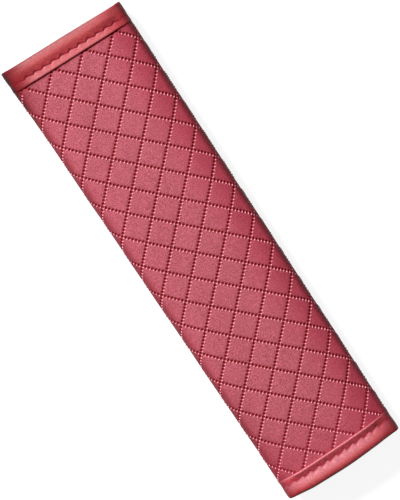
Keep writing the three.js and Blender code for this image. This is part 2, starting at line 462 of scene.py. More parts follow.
def grid_faces(rows: int, columns: int, start: int = 0, around: bool = False) -> Array:
    """Faces of a grid of points numbered row by row.

    Args:
        rows: number of rows.
        columns: points in a row.
        start: number of the first point.
        around: whether each row closes on itself.

    Returns:
        Four point numbers for each face.
    """
    numbers = start + np.arange(rows * columns).reshape(rows, columns)
    if around:
        numbers = np.concatenate([numbers, numbers[:, :1]], axis=1)
    corners = (numbers[:-1, :-1], numbers[1:, :-1], numbers[1:, 1:], numbers[:-1, 1:])
    return np.stack([corner.ravel() for corner in corners], axis=1)


def close_ends(piece: bpy.types.Object) -> None:
    """Closes the two ends of a swept section.

    Args:
        piece: the object whose mesh is open at its ends.
    """
    work = bmesh.new()
    work.from_mesh(piece.data)
    edges = [edge for edge in work.edges if edge.is_boundary]
    bmesh.ops.holes_fill(work, edges=edges, sides=0)
    bmesh.ops.recalc_face_normals(work, faces=work.faces)
    work.to_mesh(piece.data)
    work.free()


def wall_faces(upper: Array, lower: Array, upper_at: Array, lower_at: Array) -> list[list[int]]:
    """Triangles between two rows of points that run side by side, whatever their numbers.

    Args:
        upper: point numbers of one row.
        lower: point numbers of the other.
        upper_at: rising coordinate along the first row.
        lower_at: the same for the other.

    Returns:
        Rows of three point numbers and -1.
    """
    faces = []
    i = j = 0
    while i < len(upper) - 1 or j < len(lower) - 1:
        first = i < len(upper) - 1
        if first and j < len(lower) - 1:
            first = upper_at[i + 1] <= lower_at[j + 1]
        if first:
            faces.append([upper[i + 1], upper[i], lower[j], -1])
            i += 1
        else:
            faces.append([lower[j], lower[j + 1], upper[i], -1])
            j += 1
    return faces


@dataclass
class Layer:
    """One sheet of the padding: a closed solid between an outer and an inner face."""

    name: str
    along: Array
    along_inside: Array
    round: Callable[[Array], Array]
    outer: Face
    inner: Face

    def build(self) -> bpy.types.Object:
        """Makes the mesh.

        Returns:
            The new object.
        """
        grids = []
        for lengths, height in ((self.along, self.outer), (self.along_inside, self.inner)):
            s = np.stack([self.round(np.full(1, x)) for x in lengths])
            x = np.repeat(lengths[:, None], s.shape[1], axis=1)
            grids.append((x, s, height(x, s)))
        columns = grids[0][0].shape[1]
        points = np.concatenate([SLEEVE.place(x.ravel(), s.ravel(), h.ravel()) for x, s, h in grids])
        sheet = np.concatenate([np.stack([x, s, h], axis=-1).reshape(-1, 3) for x, s, h in grids])
        outer_count = grids[0][0].size
        outer = grid_faces(len(self.along), columns)
        inner = grid_faces(len(self.along_inside), columns, outer_count)[:, ::-1]
        numbers = [
            np.arange(outer_count).reshape(-1, columns),
            outer_count + np.arange(grids[1][0].size).reshape(-1, columns),
        ]
        walls = []
        walls += wall_faces(numbers[0][:, 0], numbers[1][:, 0], self.along, self.along_inside)
        walls += wall_faces(
            numbers[0][::-1, -1], numbers[1][::-1, -1], -self.along[::-1], -self.along_inside[::-1])
        count = np.arange(columns)
        walls += wall_faces(numbers[0][-1], numbers[1][-1], count, count)
        walls += wall_faces(numbers[0][0, ::-1], numbers[1][0, ::-1], count, count)
        faces = np.concatenate([outer, inner, np.array(walls)])
        return mesh_object(self.name, points, faces, sheet * MM)


@dataclass(frozen=True)
class Strip:
    """Section of a leather strip folded over an edge, inward from the fold and up."""

    width: float = 10.8
    seam: float = 7.2
    stitch: float = 4.9
    tooth_height: float = 0.95
    crest: float = 0.37
    proud: float = 0.5
    seam_depth: float = 1.6
    roll: float = 0.75
    leather: float = 0.8
    pressed: float = -1.22
    bottom: float = -3.65

    def outline(self) -> Array:
        """The closed section.

        Returns:
            Points as (inward, height) rows.
        """
        low = self.bottom
        edge = self.proud
        seam = self.roll - self.seam_depth
        return np.array([
            (self.width, edge - self.leather),
            (self.width + 0.02, edge - 0.3),
            (self.width - 0.12, edge - 0.06),
            (self.width - 0.5, edge),
            ((self.seam + self.width) / 2, edge * 0.5 + seam * 0.5),
            (self.seam + 0.4, edge * 0.1 + seam * 0.9),
            (self.seam, seam),
            (self.seam - 0.3, seam + 0.25 * self.seam_depth / 1.6),
            (self.seam * (0.6 + 0.4 * self.crest), self.roll - 0.46 * self.seam_depth),
            (self.seam * (0.25 + 0.75 * self.crest), self.roll - 0.1 * self.seam_depth),
            (self.seam * self.crest, self.roll),
            (self.seam * self.crest * 0.57, self.roll - 0.14),
            (self.seam * self.crest * 0.32, self.roll - 0.42),
            (0.4, self.roll - 0.9),
            (0.1, self.roll - 1.5),
            (0.0, self.roll - 2.2),
            (0.0, low + 1.2),
            (0.2, low + 0.6),
            (0.8, low + 0.12),
            (self.seam * 0.6, low),
            (self.seam, low + 0.25),
            (self.seam + 1.2, low),
            (self.width - 0.3, low),
            (self.width, low + 0.25),
        ])

    def dense(self, spacing: float) -> Array:
        """The section's shown face, rounded between the points of its outline.

        Args:
            spacing: about how far apart the new points lie.

        Returns:
            Points as (inward, height) rows.
        """
        points = self.outline()
        padded = np.vstack([2 * points[0] - points[1], points, 2 * points[-1] - points[-2]])
        result = []
        for k in range(1, len(padded) - 2):
            a, b, c, d = padded[k - 1:k + 3]
            steps = max(2, int(np.linalg.norm(c - b) / spacing))
            for t in np.linspace(0, 1, steps, endpoint=False)[:, None]:
                bent = (2 * a - 5 * b + 4 * c - d) * t ** 2 + (3 * b - a - 3 * c + d) * t ** 3
                result.append(0.5 * (2 * b + (c - a) * t + bent))
        return np.array(result + [points[-1]])

    def tooth(self, run: Array) -> Array:
        """Saw-toothed wave along the stitches, from -0.5 to 0.5."""
        share = run / self.stitch - np.floor(run / self.stitch)
        return np.where(share < 0.8, share / 0.8, (1 - share) / 0.2) - 0.5


@dataclass
class FoldedStrip:
    """A strip swept along an edge of the sheet."""

    name: str
    strip: Strip
    runs: Array
    put: Put
    spacing: float = 0.28
    calm_sides: float = 1.0
    calm_start: tuple[float, float] = (22.0, 30.0)
    calm_share: float = 0.85
    calm_level: float = 0.05
    calm_floor: float = -1.2
    tooth_width: float = 1.1
    dimple_depth: float = 0.25
    dimple_width: float = 0.7

    def build(self) -> bpy.types.Object:
        """Makes the mesh.

        Returns:
            The new object.
        """
        strip = self.strip
        shown = strip.dense(self.spacing)
        inside = np.array([
            (strip.leather + 0.1, strip.bottom + strip.leather),
            (strip.leather + 0.1, strip.pressed),
            (strip.seam + 0.3, strip.pressed),
            (strip.width - 0.3, strip.proud - strip.leather - 0.05),
        ])
        inner_edge = np.array([(strip.width, strip.bottom + strip.leather)])
        outline = np.vstack([shown, inner_edge, inside])
        inward = np.repeat(outline[None, :, 0], len(self.runs), axis=0)
        height = np.repeat(outline[None, :, 1], len(self.runs), axis=0)
        runs = np.repeat(self.runs[:, None], len(outline), axis=1)
        seen = np.arange(len(outline)) < len(shown)
        flat_inward = inward
        pull = bell(inward, strip.seam, self.tooth_width) * seen
        inward = inward + strip.tooth_height * strip.tooth(runs) * pull
        hole = 0.5 + 0.5 * np.cos(math.tau * runs / strip.stitch)
        dimple = self.dimple_depth * hole ** 3 * bell(inward, strip.seam, self.dimple_width)
        height = height - dimple * seen
        top = seen * smooth(strip.bottom + 1.0, strip.bottom + 3.0, height)
        far = smooth(*self.calm_start, np.abs(runs)) * self.calm_sides
        calm = far * top * self.calm_share * (height > self.calm_floor)
        height = height - calm * (height - self.calm_level)
        x, s = self.put(inward, height, runs)
        points = SLEEVE.place(x.ravel(), s.ravel(), height.ravel())
        sheet = np.stack([runs, flat_inward, height], axis=-1).reshape(-1, 3) * MM
        piece = mesh_object(self.name, points, grid_faces(*x.shape, around=True), sheet)
        close_ends(piece)
        return piece


class Wire:
    """A socket in a material's node tree that can be used in plain maths."""

    def __init__(self, recipe: "Recipe", socket: bpy.types.NodeSocket) -> None:
        """Wraps an output socket of a recipe's node."""
        self.recipe = recipe
        self.socket = socket

    def math(self, operation: str, *others: "Wire | float") -> "Wire":
        """Adds one Math node for an operation on this value and others."""
        values = dict(enumerate((self, *others)))
        return self.recipe.node("ShaderNodeMath", {"operation": operation}, values).out(0)

    def flipped(self, operation: str, other: float) -> "Wire":
        """Adds one Math node with a number ahead of this value."""
        return self.recipe.node("ShaderNodeMath", {"operation": operation}, {0: other, 1: self}).out(0)

    def __add__(self, other: "Wire | float") -> "Wire":
        """Sum."""
        return self.math("ADD", other)

    __radd__ = __add__

    def __sub__(self, other: "Wire | float") -> "Wire":
        """Difference."""
        return self.math("SUBTRACT", other)

    def __rsub__(self, other: float) -> "Wire":
        """A number less this value."""
        return self.flipped("SUBTRACT", other)

    def __mul__(self, other: "Wire | float") -> "Wire":
        """Product."""
        return self.math("MULTIPLY", other)

    __rmul__ = __mul__

    def __truediv__(self, other: "Wire | float") -> "Wire":
        """Quotient."""
        return self.math("DIVIDE", other)

    def __abs__(self) -> "Wire":
        """Size without sign."""
        return self.math("ABSOLUTE")

    def smooth(self, low: float, high: float) -> "Wire":
        """Rises from 0 at low to 1 at high with soft ends.

        Args:
            low: where the rise starts.
            high: where it ends.

        Returns:
            The risen value.
        """
        values = {"Value": self, "From Min": low, "From Max": high}
        settings = {"interpolation_type": "SMOOTHSTEP"}
        return self.recipe.node("ShaderNodeMapRange", settings, values).out("Result")

    def bell(self, middle: float, width: float) -> "Wire":
        """1 at the middle and falling softly to both sides."""
        off = (self - middle) / width
        return (off * off * -1).math("EXPONENT")


class Made:
    """A node that a recipe has added."""

    def __init__(self, recipe: "Recipe", node: bpy.types.Node) -> None:
        """Wraps the node."""
        self.recipe = recipe
        self.node = node

    def out(self, key: str | int) -> Wire:
        """One of its outputs."""
        return Wire(self.recipe, self.node.outputs[key])


class Recipe:
    """A material and the nodes that are added to it."""

    def __init__(self, name: str) -> None:
        """Starts an empty material.

        Args:
            name: the material's name.
        """
        self.material = bpy.data.materials.new(name)
        self.material.use_nodes = True
        self.tree = self.material.node_tree
        self.tree.nodes.clear()

    def node(self, kind: str, settings: dict[str, Any], values: dict[str | int, Any]) -> Made:
        """Adds a node.

        Args:
            kind: the node's type.
            settings: its properties, set first.
            values: values or links of its sockets, by name or number.

        Returns:
            The node.
        """
        node = self.tree.nodes.new(kind)
        for name, value in settings.items():
            if name == "stops":
                elements = node.color_ramp.elements
                while len(elements) < len(value):
                    elements.new(1.0)
                for element, (at, colour) in zip(elements, value):
                    element.position = at
                    element.color = colour
            else:
                setattr(node, name, value)
        for key, value in values.items():
            if isinstance(value, Wire):
                self.tree.links.new(value.socket, node.inputs[key])
            else:
                node.inputs[key].default_value = value
        return Made(self, node)

    def sheet(self) -> tuple[Wire, Wire, Wire]:
        """The sheet coordinates.

        Returns:
            The place along the sheet, the place round it and the height, in millimetres.
        """
        attribute = self.node("ShaderNodeAttribute", {"attribute_name": "sheet"}, {})
        parts = self.node("ShaderNodeSeparateXYZ", {}, {0: attribute.out("Vector")})
        return tuple(parts.out(number) * (1 / MM) for number in range(3))

    def object_place(self) -> Wire:
        """Place on the object, in metres."""
        return self.node("ShaderNodeTexCoord", {}, {}).out("Object")

    def noise(self, size: float, detail: float = 2.0, distortion: float = 0.0,
              stretch: float = 1.0, turn: float = 0.0) -> Wire:
        """Cloudy noise about 0.5.

        Args:
            size: size of its features in metres.
            detail: how much finer noise is added.
            distortion: how far it is warped.
            stretch: how much longer its features are than wide.
            turn: the way they run, from the pad's length, in degrees.

        Returns:
            The noise.
        """
        place = self.object_place()
        turned = {"Vector": place, "Rotation": (0, 0, math.radians(turn)), "Scale": (stretch, 1, 1)}
        mapped = self.node("ShaderNodeMapping", {"vector_type": "TEXTURE"}, turned).out("Vector")
        values = {"Vector": mapped, "Scale": 1 / size, "Detail": detail, "Distortion": distortion}
        return self.node("ShaderNodeTexNoise", {}, values).out("Fac")

    def cells(self, size: float) -> Wire:
        """Cells of a size in metres, by the distance to their edges."""
        values = {"Vector": self.object_place(), "Scale": 1 / size}
        return self.node("ShaderNodeTexVoronoi", {"feature": "DISTANCE_TO_EDGE"}, values).out("Distance")

    def blend(self, factor: Wire | float, first: Any, second: Any, kind: str = "MIX") -> Wire:
        """Mixes two colours."""
        settings = {"data_type": "RGBA", "clamp_factor": True, "blend_type": kind}
        return self.node("ShaderNodeMix", settings, {0: factor, 6: first, 7: second}).out(2)

    def bump(self, height: Wire, distance: float, normal: Wire | None = None) -> Wire:
        """Normal of a bumped surface.

        Args:
            height: its relief, from 0 to 1.
            distance: what a height of 1 means, in metres.
            normal: an earlier normal, on which it comes.

        Returns:
            The normal.
        """
        values: dict[str, Any] = {"Height": height, "Distance": distance, "Strength": 1.0}
        if normal is not None:
            values["Normal"] = normal
        return self.node("ShaderNodeBump", {}, values).out("Normal")

    def surface(self, **values: Any) -> bpy.types.Material:
        """Ends the recipe with a principled surface.

        Args:
            values: values or wires of its sockets, by their names in small letters.

        Returns:
            The finished material.
        """
        named = {
            key.replace("_", " ").title().replace("Ior", "IOR"): value for key, value in values.items()}
        shader = self.node("ShaderNodeBsdfPrincipled", {}, named)
        self.node("ShaderNodeOutputMaterial", {}, {0: shader.out(0)})
        return self.material


def rgb(red: float, green: float, blue: float) -> Colour:
    """A linear colour with full alpha."""
    return red, green, blue, 1.0


@dataclass(frozen=True)
class Ramp:
    """A soft rise from one place to another, in millimetres, up to a share."""

    low: float
    high: float
    share: float = 1.0

    def of(self, value: Wire) -> Wire:
        """The rise at a value."""
        return value.smooth(self.low, self.high) * self.share


@dataclass(frozen=True)
class EdgeShading:
    """Where shade is painted on the leather towards the long edges, the ends and a corner, and a painted
    shadow line beside a binding, by the place round the pad and along it.
    """

    # Painted shade towards the right and the left long edges, more on the left near the ends.
    right_shade: Ramp = Ramp(6, 32, 0.7)
    left_shade: Ramp = Ramp(26, 33, 0.4)
    left_dim: Ramp = Ramp(15, 33, 0.55)
    upper_dim: Ramp = Ramp(-118, -84)
    lower_dim: Ramp = Ramp(45, 95, 0.5)
    # Painted shade along the folds of the long edges.
    fold_start: Ramp = Ramp(28, 33)
    fold_end: Ramp = Ramp(35, 44)
    left_fold: float = 0.5
    right_fold: Ramp = Ramp(-1, 1, 0.28)
    # Near-black painted shade at the left corner of the upper end.
    corner: Ramp = Ramp(-115, -85)
    corner_start: Ramp = Ramp(31, 34, 0.85)
    corner_end: Ramp = Ramp(42, 48)
    corner_shade_colour: Colour = rgb(0.02, 0.002, 0.003)
    # Painted shade along the quilted leather, darker towards the lower end.
    whole: Ramp = Ramp(-120, 120, 0.05)
    lower_shade: Ramp = Ramp(84, 118, 0.38)
    gloss: Ramp = Ramp(18, 28, 0.9)
    # A painted shadow line on the quilted leather beside the upper binding.
    binding_edge: float = 11.75
    binding_shadow: float = 0.85
    shadow_width: float = 0.5


EDGES = EdgeShading()


@dataclass(frozen=True)
class LeatherFinish:
    """Grained synthetic leather, with the holes of the quilting where it has them, painted shade towards
    the edges, ends, holes and seams, and bands of painted light and shade across the strips.
    """

    name: str
    colour: Colour
    # Darker colour for the grain and for all the painted shade.
    dark_grain_and_shade: Colour
    roughness: float
    # Painted shade round the holes.
    rim_shade: Colour = rgb(0.42, 0.045, 0.065)
    rim_shade_share: float = 0.8
    grain_size: float = 0.62 * MM
    grain_depth: float = 0.18 * MM
    grain_shade: float = 0.28
    crease_depth: float = 0.18 * MM
    speckle: float = 3.0
    streaks: float = 1.2
    clouds: float = 0.2
    dark_tone: Colour = rgb(0.7, 0.66, 0.66)
    light_tone: Colour = rgb(1.32, 1.38, 1.38)
    # Colour of the painted shade towards the long edges and the lower end.
    flank_shade: Colour = rgb(0.42, 0.03, 0.062)
    # How much painted shade a strip gets on its left side and at its left corner.
    dim: float = 0.0
    coat: float = 0.2
    coat_roughness: float = 0.42
    specular: float = 0.12
    # Painted shade along a strip's seam groove: where it lies, its width, its share and its colour.
    seam: float = 0.0
    seam_width: float = 0.45
    seam_shade_share: float = 0.6
    seam_shade_colour: Colour = rgb(0.3, 0.003, 0.012)
    # Bands of painted light and shade across a strip, by distance from its fold.
    light_and_shade_bands: tuple[tuple[float, Colour], ...] = ()
    reach: float = 12.0
    quilted: bool = False

    def holes(self, recipe: Recipe, shift: tuple[float, float] = (0.0, 0.0)) -> Wire:
        """The stitch holes of the quilting.

        Args:
            recipe: the material's recipe.
            shift: how far along and across the painted shade lies from the stitch holes, in millimetres.

        Returns:
            Distance to the nearest mark in millimetres, shorter across the pad than along it.
        """
        along_share, across_share = (1.0 / part ** 2 for part in QUILTING.hole_stretch)
        x, s, _height = recipe.sheet()
        along = x - (QUILTING.crossing_x + shift[0])
        across = s - (QUILTING.crossing_s + shift[1])
        first = (along + across) / QUILTING.diagonal
        second = (along - across) / QUILTING.diagonal
        nearest = None
        for line, run in ((first, second), (second, first)):
            off = (line - line.math("ROUND")) * QUILTING.square
            beat = run * QUILTING.stitches
            along = (beat - beat.math("ROUND")) * (QUILTING.square / QUILTING.stitches)
            distance = (off * off + along * along) * ((along_share + across_share) / 2)
            distance = distance + off * along * (along_share - across_share)
            nearest = distance if nearest is None else nearest.math("MINIMUM", distance)
        return nearest.math("SQRT")

    def ground_and_light_bands(self, recipe: Recipe, inward: Wire) -> Wire | Colour:
        """The colour before any grain.

        Args:
            recipe: the material's recipe.
            inward: distance from the fold of a strip, in millimetres.

        Returns:
            The one colour, or the bands of painted light and shade across a strip.
        """
        if not self.light_and_shade_bands:
            return self.colour
        # Bands of painted light and shade across the strip.
        stops = [(at / self.reach, colour) for at, colour in self.light_and_shade_bands]
        return recipe.node("ShaderNodeValToRGB", {"stops": stops}, {0: inward / self.reach}).out("Color")

    def shade_edges(self, recipe: Recipe, colour: Wire, run: Wire, around: Wire) -> Wire:
        """Paints shade on the leather towards the long edges and the corners.

        Args:
            recipe: the material's recipe.
            colour: the colour so far.
            run: place along the pad, used on the quilted leather alone.
            around: place round the pad.

        Returns:
            The new colour.
        """
        left = around * -1
        away = abs(around)
        near_ends, corner = self.dim, min(self.dim, 1.0)
        if self.quilted:
            near_ends = 1 - EDGES.upper_dim.of(run) + EDGES.lower_dim.of(run)
            corner = 1 - EDGES.corner.of(run)
        # Painted shade towards both long edges, on the left side near the ends, along the folds and at a
        # corner.
        colour = recipe.blend(EDGES.right_shade.of(around), colour, self.flank_shade)
        colour = recipe.blend(EDGES.left_shade.of(left), colour, self.flank_shade)
        colour = recipe.blend(EDGES.left_dim.of(left) * near_ends, colour, self.dark_grain_and_shade)
        fold = EDGES.fold_start.of(away) * (1 - EDGES.fold_end.of(away))
        colour = recipe.blend(fold * (EDGES.right_fold.of(around) + EDGES.left_fold), colour, self.dark_grain_and_shade)
        edge = EDGES.corner_start.of(left) * (1 - EDGES.corner_end.of(left)) * corner
        return recipe.blend(edge, colour, EDGES.corner_shade_colour)

    def paint_hole_shade(self, recipe: Recipe, colour: Wire, mouth: Wire) -> Wire:
        """Paints shade into the stitch holes and onto their rims.

        Args:
            recipe: the material's recipe.
            colour: the colour so far.
            mouth: distance to the nearest hole, in millimetres.

        Returns:
            The new colour.
        """
        # Painted shade on the rims, and darker in the holes.
        rim_shade = (1 - mouth.smooth(*QUILTING.rim_radii)) * self.rim_shade_share
        colour = recipe.blend(rim_shade, colour, self.rim_shade)
        return recipe.blend(1 - mouth.smooth(*QUILTING.hole_radii), colour, self.dark_grain_and_shade)

    def shade_ends(self, recipe: Recipe, colour: Wire, run: Wire) -> Wire:
        """Paints shade on the quilted leather towards the lower end, and a painted shadow line beside
        the upper binding.

        Args:
            recipe: the material's recipe.
            colour: the colour so far.
            run: place along the pad.

        Returns:
            The new colour.
        """
        # Painted shade towards the lower end, and a painted shadow line beside the upper binding.
        colour = recipe.blend(EDGES.whole.of(run), colour, self.dark_grain_and_shade)
        colour = recipe.blend(EDGES.lower_shade.of(run), colour, self.flank_shade)
        shadow = run.bell(EDGES.binding_edge - SLEEVE.length / 2, EDGES.shadow_width)
        return recipe.blend(shadow * EDGES.binding_shadow, colour, self.dark_grain_and_shade)

    def build(self) -> bpy.types.Material:
        """Makes the material.

        Returns:
            The material.
        """
        recipe = Recipe(self.name)
        grain = recipe.cells(self.grain_size).smooth(0.0, 0.45)
        fine = recipe.noise(0.5 * MM, 2.0)
        crease = recipe.noise(0.8 * MM, 3.0, distortion=1.2, stretch=2.6, turn=25.0)
        cloud = recipe.noise(9 * MM, 2.0)
        run, inward, height = recipe.sheet()
        around = inward if self.quilted else run
        tone = (cloud - 0.5) * self.clouds + (crease - 0.5) * self.streaks + (fine - 0.5) * self.speckle
        shade = recipe.blend(tone + 0.5, self.dark_tone, self.light_tone)
        colour = recipe.blend(1.0, self.ground_and_light_bands(recipe, inward), shade, "MULTIPLY")
        colour = recipe.blend((1 - grain) * self.grain_shade, colour, self.dark_grain_and_shade)
        colour = self.shade_edges(recipe, colour, run, around)
        normal = recipe.bump(crease, self.crease_depth)
        normal = recipe.bump(grain * 0.6 + fine * 0.4, self.grain_depth, normal)
        rough = (fine - 0.5) * 0.16 + (1 - grain) * 0.12 + self.roughness
        coat = grain * self.coat + self.coat / 2
        if self.seam:
            shown = height.smooth(-2.2, -1.4)
            coat = coat * shown
            # Painted shade along the seam groove.
            line = inward.bell(self.seam - 0.15, self.seam_width) * self.seam_shade_share * shown
            colour = recipe.blend(line, colour, self.seam_shade_colour)
        if self.quilted:
            mouth = self.holes(recipe, QUILTING.hole_shift)
            # Painted shade in and round the holes, towards the lower end and beside the upper binding.
            colour = self.shade_ends(recipe, self.paint_hole_shade(recipe, colour, mouth), run)
            pit = self.holes(recipe).bell(0.0, QUILTING.pit_radius)
            normal = recipe.bump(1 - pit, QUILTING.mark_depth, normal)
            coat = coat * mouth.smooth(0.4, 0.9)
        coat = coat * (1 - EDGES.gloss.of(abs(around)))
        return recipe.surface(
            base_color=colour, roughness=rough, normal=normal, specular_ior_level=self.specular,
            coat_weight=coat, coat_roughness=self.coat_roughness)


@dataclass(frozen=True)
class ClothFinish:
    """Woven or knitted cloth and tape."""

    name: str
    colour: Colour
    pitch: float
    roughness: float = 0.9
    fuzz_size: float = 0.5 * MM
    relief: float = 0.25 * MM
    lift: float = 1.7
    shaded: Colour | None = None
    shadow: tuple[float, float] = (28.5 * MM, 31 * MM)
    shadow_share: float = 0.9

    def build(self) -> bpy.types.Material:
        """Makes the material.

        Returns:
            The material.
        """
        recipe = Recipe(self.name)
        x, s, _height = recipe.sheet()
        ridge = (x * (math.tau / self.pitch)).math("SINE") * (s * (math.tau / self.pitch)).math("SINE")
        fuzz = recipe.noise(self.fuzz_size, 3.0)
        light = rgb(*(min(1.0, part * self.lift) for part in self.colour[:3]))
        colour = recipe.blend(ridge * 0.3 + fuzz * 0.7, self.colour, light)
        if self.shaded is not None:
            place = recipe.node("ShaderNodeSeparateXYZ", {}, {0: recipe.object_place()})
            shadow = place.out("Y").smooth(*self.shadow) * self.shadow_share
            colour = recipe.blend(shadow, colour, self.shaded)
        normal = recipe.bump(ridge * 0.5 + fuzz * 0.4, self.relief)
        return recipe.surface(base_color=colour, roughness=self.roughness, normal=normal)


def thread_mesh(name: str, starts: Array, ends: Array, ups: Array, radius: float, arch: float,
                sides: int = 6, rings: int = 5) -> bpy.types.Object:
    """Many short stitches as closed tubes with pointed ends that dive into the leather.

    Args:
        name: the piece's name.
        starts: where each stitch comes up, in metres.
        ends: where it goes down.
        ups: the outward direction at each stitch.
        radius: thickest radius.
        arch: how far the middle rises above the ends.
        sides: sides of the tube.
        rings: rings along it.

    Returns:
        The new object.
    """
    run = ends - starts
    length = np.linalg.norm(run, axis=1, keepdims=True)
    run = run / length
    across = np.cross(ups, run)
    across /= np.linalg.norm(across, axis=1, keepdims=True)
    upward = np.cross(run, across)
    share = np.linspace(0.04, 0.96, rings)
    swell = np.sin(math.pi * share)
    thick = radius * swell ** 0.45
    angle = np.arange(sides) * math.tau / sides
    centre = starts[:, None] + run[:, None] * (length * share[None, :])[:, :, None]
    centre = centre + upward[:, None] * (arch * swell)[None, :, None]
    spoke = across[:, None] * np.cos(angle)[:, None] + upward[:, None] * np.sin(angle)[:, None]
    tube = centre[:, :, None] + spoke[:, None] * thick[None, :, None, None]
    tips = np.stack([starts, ends], axis=1)
    count = len(starts)
    each = rings * sides + 2
    points = np.concatenate([tube.reshape(count, -1, 3), tips], axis=1).reshape(-1, 3)
    faces = grid_faces(rings, sides, around=True).tolist()
    first, last = rings * sides, rings * sides + 1
    for k in range(sides):
        after = (k + 1) % sides
        faces.append([first, k, after, -1])
        faces.append([last, (rings - 1) * sides + after, (rings - 1) * sides + k, -1])
    base = np.array(faces)
    offset = (np.arange(count) * each)[:, None, None]
    every = np.where(base[None] < 0, -1, base[None] + offset).reshape(-1, 4)
    return mesh_object(name, points, every)


@dataclass
class Pad:
    """The whole shoulder pad."""

    sleeve: Sleeve = SLEEVE
    quilting: Quilting = QUILTING
    bindings: dict[End, Strip] = field(default_factory=lambda: {
        End.UPPER: Strip(width=11.4, seam=7.9, crest=0.44, seam_depth=1.45),
        End.LOWER: Strip(width=10.5, seam=6.9, tooth_height=1.3)})
    hem: Strip = field(default_factory=lambda: Strip(
        width=6.5, seam=4.6, stitch=3.2, proud=0.25, seam_depth=0.6, roll=0.35, bottom=-3.6))
    gap: float = 0.3
    front: float = 46.0
    swell: float = 0.12
    ripple: float = 0.06
    hem_stitch_gap: float = 0.8

    def squeeze(self, x: Array, s: Array, shown: bool) -> Array:
        """1 where the sheet is pressed flat inside a binding or hem, 0 where it is full.

        Args:
            x: places along the pad.
            s: places round it.
            shown: whether the sheet's shown face is meant, which fills out under the strips.

        Returns:
            The shares.
        """
        side = np.where(s < 0, -1.0, 1.0)
        half = self.sleeve.length / 2
        shares = np.zeros(np.broadcast(x, s).shape)
        for strip, inward in (
                (self.bindings[End.UPPER], half + x),
                (self.bindings[End.LOWER], half - x),
                (self.hem, self.sleeve.reach(x, side) - np.abs(s))):
            if shown:
                share = 1.0 - smooth(strip.seam + 0.4, strip.width - 0.2, inward)
            else:
                share = 1.0 - smooth(strip.width + 0.1, strip.width + 1.1, inward)
            shares = np.maximum(shares, share)
        return shares

    def face(self, level: float, change: float, shown: bool) -> Face:
        """The height of one face of a layer.

        Args:
            level: its height where the sheet is full.
            change: how much higher it lies where the sheet is pressed flat.
            shown: as for squeeze.

        Returns:
            A function that gives the height at x and s.
        """
        def height(x: Array, s: Array) -> Array:
            """Height at each place."""
            return level + change * self.squeeze(x, s, shown)

        return height

    def along(self, fine: float) -> Array:
        """Divisions along the pad, closer at the bindings.

        Args:
            fine: spacing between the bindings.

        Returns:
            The places, rising.
        """
        half = self.sleeve.length / 2
        insets = {}
        for end, strip in self.bindings.items():
            insets[end] = np.array([
                1.05, 4.0, strip.seam + 0.4, strip.seam + 1.3, strip.width - 1.4, strip.width - 0.2])
        start = self.quilting.crossing_x
        low = self.bindings[End.UPPER].width - half
        high = half - self.bindings[End.LOWER].width
        count = np.arange(math.ceil((low - start) / fine), math.floor((high - start) / fine) + 1)
        middle = start + count * fine
        return np.concatenate([insets[End.UPPER] - half, middle, half - insets[End.LOWER][::-1]])

    def flap_reach(self, side: Side, x: float) -> float:
        """Length of the sheet from the top centre to a flap's free edge, at one place."""
        return float(self.sleeve.reach(np.full(1, x), np.full(1, float(side.value)))[0])

    def around(self, fine: float, coarse: float) -> Callable[[Array], Array]:
        """Divisions round the pad: fine over the front, coarse over the back.

        Args:
            fine: spacing over the front and the long edges.
            coarse: spacing over the back.

        Returns:
            A function that gives them for a place along the pad.
        """
        start = self.quilting.crossing_s
        first = math.ceil((-self.front - start) / fine / 2) * 2
        middle = start + np.arange(first, math.floor((self.front - start) / fine) + 1) * fine
        inner_room, outer_room = (
            self.flap_reach(side, 0.0) - self.hem.width - self.hem_stitch_gap for side in Side)
        low = np.arange(middle[0] - coarse, -inner_room, -coarse)[::-1]
        high = np.arange(middle[-1] + coarse, outer_room, coarse)
        body = np.concatenate([low, middle, high])

        def divisions(x: Array) -> Array:
            """The divisions at one place along the pad.

            Args:
                x: the place, as an array of one.

            Returns:
                The places round the pad, rising.
            """
            inner, outer = -self.flap_reach(Side.INNER, x[0]), self.flap_reach(Side.OUTER, x[0])
            insets = np.array([
                1.05, 3.0, self.hem.seam + 0.4, self.hem.seam + 1.1, self.hem.width - 0.2])
            return np.concatenate([inner + insets, body, outer - insets[::-1]])

        return divisions

    def cover(self) -> bpy.types.Object:
        """The quilted leather.

        Returns:
            The new object.
        """
        fine = self.quilting.fine

        def outer(x: Array, s: Array) -> Array:
            """Height of the shown face.

            Args:
                x: places along the pad.
                s: places round it.

            Returns:
                The heights.
            """
            press = self.squeeze(x, s, True)
            swell = self.swell * wave(0.7, (x, 61.0), (s, 38.0)) - 0.1
            return (self.quilting.height(x, s) + swell) * (1 - press) - 1.32 * press

        piece = Layer(
            "quilted_leather", self.along(fine), self.along(8.0), self.around(fine, 2 * fine),
            outer, self.face(-1.4, -0.2, True)).build()
        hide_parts("quilted_cover")
        return piece

    def foam(self) -> bpy.types.Object:
        """The padding between the leather and the lining.

        Returns:
            The new object.
        """
        lengths = self.along(4.0)
        piece = Layer(
            "foam", lengths, lengths, self.around(2.0, 3.0),
            self.face(-1.5, -0.2, True), self.face(-3.0, 0.8, False)).build()
        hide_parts("foam_padding")
        return piece

    def lining(self) -> bpy.types.Object:
        """The cloth that lies against the belt.

        Returns:
            The new object.
        """
        flat = self.face(-3.55, 0.85, False)

        def inner(x: Array, s: Array) -> Array:
            """Height of the face by the belt, a little rippled."""
            return flat(x, s) + self.ripple * wave(4.1, (x, 17.0), (s, 23.0))

        lengths = self.along(2.0)
        piece = Layer(
            "lining", lengths, lengths, self.around(1.5, 2.0),
            self.face(-3.2, 0.9, False), inner).build()
        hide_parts("inner_lining")
        return piece

    def end_runs(self, end: End) -> tuple[float, float]:
        """How far the strip of one end runs to each side, in millimetres."""
        x_end = end.value * self.sleeve.length / 2
        return -self.flap_reach(Side.INNER, x_end), self.flap_reach(Side.OUTER, x_end)

